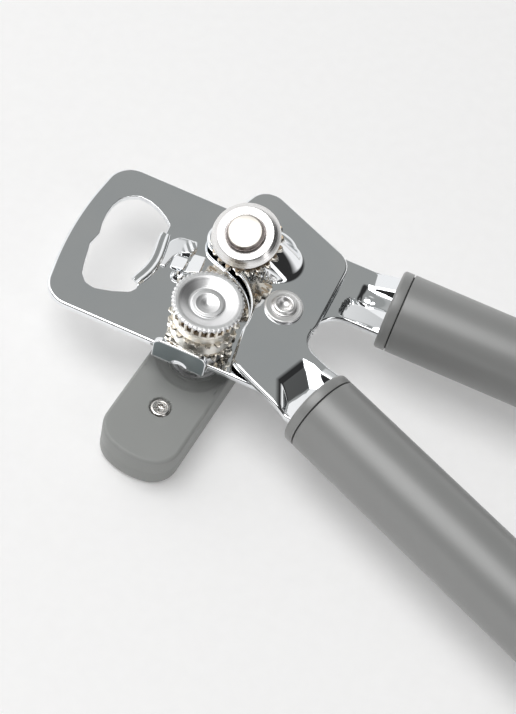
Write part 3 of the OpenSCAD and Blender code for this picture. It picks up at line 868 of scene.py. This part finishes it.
def knob_screws():
    """Pan-headed screws with a turned rim and a six-lobed recess."""
    low, high = (c.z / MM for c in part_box("knob_screws"))
    head = [(2.85, -1.5, 0), (3.0, -0.6, 0), (2.95, -0.3, 0), (2.7, -0.1, 0), (2.3, 0, 0), (2.05, -0.05, 0),
            (1.9, -0.3, 0), (1.75, -0.3, 0), (1.6, -0.1, 0), (1.35, -0.12, 0.3), (1.25, -0.5, 0.3),
            (1.1, -1.0, 0.3), (0.05, -1.1, 0)]
    profile = [(0.05, low, 0), (1.4, low, 0), (1.4, high - 1.5, 0)] + raised(head, high)
    for name, x, replaced in (("knob_screw_near", KNOB_SCREW_X, ["knob_screws"]),
                              ("knob_screw_far", -KNOB_SCREW_X, [])):
        screw = toothed_wheel(name, profile, 6, AT_KNOB @ Matrix.Translation((x, 0, 0)))
        finish_piece(screw, "crank", "screw_steel", SCREW, *replaced)


# ---------- wheels, gears and rivet ----------

AT_CUTTER = (Matrix.Translation(CUTTER_AT)
             @ Vector((0, 0, 1)).rotation_difference(CUTTER_AXIS).to_matrix().to_4x4())
SHAFT_R = 3.5
FEED_TEETH = 44
COARSE_TEETH = 26
GEAR_TEETH = 20


def feed_wheel():
    """Dished rim with fine shallow teeth over a thicker disc with deep tapered gaps."""
    low, high = (c.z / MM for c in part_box("feed_wheel"))
    rim = [(SHAFT_R, -1.9, 0), (8.5, -1.9, 0), (10.0, -1.0, 0.3), (10.6, -0.85, 0.42), (10.6, -0.3, 0.42),
           (10.35, -0.06, 0.3), (10.0, 0, 0), (8.9, 0, 0), (8.5, -0.07, 0), (8.1, -0.25, 0), (7.4, -0.6, 0),
           (6.5, -1.0, 0), (5.8, -1.3, 0), (5.4, -1.4, 0), (4.9, -1.42, 0), (4.75, -1.35, 0), (4.6, -1.15, 0),
           (4.3, -1.1, 0), (SHAFT_R, -1.1, 0)]
    dished = toothed_wheel("feed_wheel_dished", raised(rim, high), FEED_TEETH, AT_CRANK)
    finish_piece(dished, "crank", "wheel_steel", TURNED, "feed_wheel")
    under = [(SHAFT_R, low, 0), (7.8, low - 0.85, 0), (9.9, low - 0.85, 1.6), (10.2, low - 0.5, 2.0)]
    under += raised([(10.3, -1.2, 2.2), (10.2, -0.95, 2.0), (8.4, -0.95, 0), (SHAFT_R, -1.7, 0)], high)
    teeth = toothed_wheel("feed_wheel_teeth", under, COARSE_TEETH, AT_CRANK, turn_deg=3)
    finish_piece(teeth, "crank", "wheel_steel", WARM)
    # Painted shade: the gaps between the lower teeth get the dark brown steel
    paint(teeth, PAINTED_GULLET_SHADE, lambda c: 8.1 < math.hypot(c.x, c.y) < 9.75)


def feed_hub():
    """Sleeve with a fine groove and a narrower neck under the feed wheel."""
    low, high = (c.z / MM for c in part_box("feed_hub"))
    hub = [(SHAFT_R, low), (9.2, low)] + corner(9.2, low + 0.25, 0.25, -90, 0, 4)
    hub += raised([(9.45, -2.4), (9.2, -2.3), (9.2, -2.1), (9.45, -2.0), (9.4, -1.0), (9.3, -0.9), (7.6, -0.9),
                   (7.6, 0), (SHAFT_R, 0)], high)
    finish_piece(lathe("feed_hub_sleeve", hub, AT_CRANK), "crank", "hub_steel", WARM, "feed_hub")


def feed_gear():
    """Lower teeth, a smooth land, and the thin upper ring of teeth that meets the cutter's gear."""
    low, high = (c.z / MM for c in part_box("feed_gear"))
    profile = raised([
        (SHAFT_R, 0, 0), (7.5, 0, 0), (9.9, 0, 1.5), (10.2, 0.3, 1.7), (10.2, 3.1, 1.7), (9.9, 3.35, 1.5),
        (9.2, 3.4, 0), (9.6, 3.7, 0), (9.6, 7.6, 0), (9.3, 7.8, 0), (9.3, 7.95, 0), (10.5, 8.0, 1.2),
        (10.7, 8.2, 1.4)], low)
    profile += raised([(10.7, -0.2, 1.4), (10.5, 0, 1.2), (9.0, 0, 0), (SHAFT_R, 0, 0)], high)
    gear = toothed_wheel("feed_gear_cluster", profile, GEAR_TEETH, AT_CRANK, turn_deg=9)
    finish_piece(gear, "crank", "gear_steel", GEAR, "feed_gear")
    paint(gear, WARM, lambda c: low + 3.6 < c.z < low + 7.8)


def shaft_end():
    """Shaft with a turned end face: a raised rim and a smooth hollow cone in the middle."""
    low, high = (c.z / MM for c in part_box("feed_shaft"))
    profile = [(0, low), (3.2, low), (SHAFT_R, low + 0.3)]
    profile += raised([
        (SHAFT_R, -0.1), (3.9, 0), (3.95, 0.25), (3.7, 0.42), (3.4, 0.4), (3.1, 0.27), (2.3, 0.12), (1.3, -0.15),
        (0.6, -0.42), (0, -0.5)], high)
    shaft = lathe("feed_shaft_turned", profile, AT_CRANK)
    finish_piece(shaft, "crank", "wheel_steel", TURNED, "feed_shaft")


def cutter_parts():
    """Cutting wheel, broad-headed stud, and the gear behind them, on the leaning axis."""
    to_axis = AT_CUTTER.inverted()
    wheel = [(3.1, 3.7), (8.9, 3.7), (10.3, 3.95), (10.5, 4.1), (10.4, 4.25), (8.75, 5.8), (8.5, 5.97), (8.3, 6.0),
             (6.05, 6.0), (5.9, 5.9), (5.85, 5.6), (5.85, 5.05), (3.1, 5.05)]
    blade = lathe("cutter_wheel_ground", wheel, AT_CUTTER, 160)
    finish_piece(blade, "cutter", "blade_steel", GROUND, "cutter_wheel")
    # Painted shade: the blade's inner ring round the stud gets the darker steel
    paint(blade, SHADE, lambda c: (to_axis @ c).xy.length < 5.95)

    stud = [(0, -2.5), (3, -2.5), (3, 5.1), (5.75, 5.1), (5.75, 6.7), (5.65, 6.95), (5.2, 7.55), (5.1, 7.65),
            (4.95, 7.7), (0, 7.7)]
    head = lathe("cutter_stud_headed", stud, AT_CUTTER)
    finish_piece(head, "cutter_arm", "stud_steel", STUD, "cutter_stud")
    # Painted shade: the stud's head below the rim of its top gets the darker steel
    paint(head, SHADE, lambda c: (to_axis @ c).z < 7.55)

    gear = [(3.1, -1.5, 0), (8, -1.5, 0), (10.7, -1.5, 1.5), (11, -1.2, 1.7), (11, 1.2, 1.7), (10.7, 1.5, 1.5),
            (8, 1.5, 0), (3.1, 1.5, 0)]
    toothed = toothed_wheel("cutter_gear_toothed", gear, GEAR_TEETH, AT_CUTTER, turn_deg=4)
    finish_piece(toothed, "cutter", "gear_steel", GEAR, "cutter_gear")
    # Painted shade: the gaps between the cutter gear's teeth get the dark brown steel
    paint(toothed, PAINTED_GULLET_SHADE, lambda c: 9.1 < (to_axis @ c).xy.length < 10.1)


def pivot_parts():
    """Thin pivot washer and the rolled head of the tubular rivet on it."""
    at = AT_NOSE @ Matrix.Translation((0, 0, ARM_FACE))
    washer = [(4.05, 0.1), (5.7, 0.1), (5.9, 0.25)] + corner(5.6, 0.55, 0.3, 0, 90, 5)
    washer += [(5.2, 0.88), (4.9, 0.82), (4.05, 0.82)]
    disc = lathe("pivot_washer_disc", washer, at)
    finish_piece(disc, "nose_arm", "rivet_steel", RIVET, "pivot_washer")
    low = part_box("pivot_rivet")[0][2] / MM - ARM_FACE
    plate_low = NOSE_FACE - PLATE_T - ARM_FACE
    rivet = [(0, low), (6.2, low), (6.5, low + 0.3), (6.5, plate_low), (4, plate_low), (4, 1.0), (3.9, 1.2)]
    rivet += [(3.6, 1.3)] + corner(2.75, 1.4, 0.7, 0, 150, 8) + [(1.9, 1.5), (1.5, 1.1), (0.8, 0.8), (0, 0.7)]
    finish_piece(lathe("pivot_rivet_rolled", rivet, at), "nose_arm", "rivet_steel", RIVET, "pivot_rivet")


# ---------- studio ----------

WALL_GREY = (0.315, 0.323, 0.318)
ROOM_DARK = (0.03, 0.03, 0.03)
PAPER_WHITE = (0.95, 0.95, 0.95)
# Colours laid over the grey wall in turn, each from nothing to full between two values along an axis:
# white to the left, dark in front and to the right, and a white sweep of paper low down all round
SKY_LAYERS = (
    (PAPER_WHITE, "X", -0.3, -0.4), (ROOM_DARK, "Y", 0.05, -0.3), (ROOM_DARK, "X", 0.14, 0.48),
    (PAPER_WHITE, "Z", 0.4, 0.25))
# Each: name, place, point that it faces, width and height, power
SOFTBOXES = (
    ("overhead", (-0.31, -0.1, 1.05), (0.03, 0, 0), (0.8, 0.8), 7.3),
    ("left", (-1.0, 0.1, 0.62), (0, 0, 0), (0.9, 0.9), 0.9),
    ("right_strip", (0.77, -0.34, 0.72), (0, 0, 0), (0.24, 0.9), 1.1))
FLOOR_HALF = 2.0
# Just under the knob, so that the two don't share a plane
FLOOR_Z = -0.0002


def studio_world():
    """Surroundings that the plates mirror: the grey wall and the layers over it."""
    world = bpy.data.worlds.new("studio")
    bpy.context.scene.world = world
    world.use_nodes = True
    tree = world.node_tree
    place = tree.nodes.new("ShaderNodeTexCoord")
    split = tree.nodes.new("ShaderNodeSeparateXYZ")
    tree.links.new(place.outputs["Generated"], split.inputs["Vector"])
    sky = None
    for colour, axis, start, end in SKY_LAYERS:
        mask = add_node(tree, "ShaderNodeMapRange", From_Min=start, From_Max=end)
        tree.links.new(split.outputs[axis], mask.inputs["Value"])
        node = tree.nodes.new("ShaderNodeMix")
        node.data_type = "RGBA"
        node.inputs["B"].default_value = (*colour, 1)
        if sky:
            tree.links.new(sky, node.inputs["A"])
        else:
            node.inputs["A"].default_value = (*WALL_GREY, 1)
        tree.links.new(mask.outputs["Result"], node.inputs["Factor"])
        sky = node.outputs["Result"]
    tree.links.new(sky, tree.nodes["Background"].inputs["Color"])


def softbox(name, place, target, size, power):
    """Rectangular area light at a place, facing a point."""
    light = bpy.data.lights.new(name, "AREA")
    light.shape = "RECTANGLE"
    light.size, light.size_y = size
    light.energy = power
    obj = bpy.data.objects.new(name, light)
    obj.location = place
    obj.rotation_euler = (Vector(target) - Vector(place)).to_track_quat("-Z", "Y").to_euler()
    bpy.context.scene.collection.objects.link(obj)


def studio():
    """World, lights and a sheet of pale paper as the floor."""
    studio_world()
    for box in SOFTBOXES:
        softbox(*box)
    paper, tree, shader = new_material("floor_paper")
    grain = two_tone(tree, object_noise(tree, PAPER_SCALE), (0.775, 0.77, 0.768), (0.795, 0.79, 0.788))
    tree.links.new(grain, shader.inputs["Base Color"])
    shader.inputs["Roughness"].default_value = 0.8
    shader.inputs["Emission Color"].default_value = (1, 1, 1, 1)
    shader.inputs["Emission Strength"].default_value = 0.2
    h = FLOOR_HALF
    mesh = bpy.data.meshes.new("floor")
    mesh.from_pydata([(-h, -h, 0), (h, -h, 0), (h, h, 0), (-h, h, 0)], [], [(0, 1, 2, 3)])
    mesh.materials.append(paper)
    floor = bpy.data.objects.new("floor", mesh)
    floor.location.z = FLOOR_Z
    bpy.context.scene.collection.objects.link(floor)


def camera():
    """The photograph's viewing angle: from in front and above, rolled so that the grips run down to the right."""
    data = bpy.data.cameras.new("camera")
    data.sensor_fit = "HORIZONTAL"
    data.sensor_width = 36
    data.lens = 121
    obj = bpy.data.objects.new("camera", data)
    right = Vector((0.91514, 0.37373, 0.15117))
    up = Vector((-0.39479, 0.75485, 0.52378))
    pose = Matrix((right, up, right.cross(up))).transposed().to_4x4()
    pose.translation = (0.05987, -0.2744, 0.45368)
    obj.matrix_world = pose
    bpy.context.scene.collection.objects.link(obj)
    bpy.context.scene.camera = obj
    bpy.context.scene.view_settings.view_transform = "Standard"


dress_cad_nodes()
nose_plate()
rim_tab()
rim_hook()
mouth_lip()
cutter_plate()
handle("upper", "nose_arm", AT_UPPER_HANDLE)
handle("lower", "cutter_arm", AT_LOWER_HANDLE)
knob()
knob_screws()
feed_wheel()
feed_hub()
feed_gear()
shaft_end()
cutter_parts()
pivot_parts()
studio()
camera()
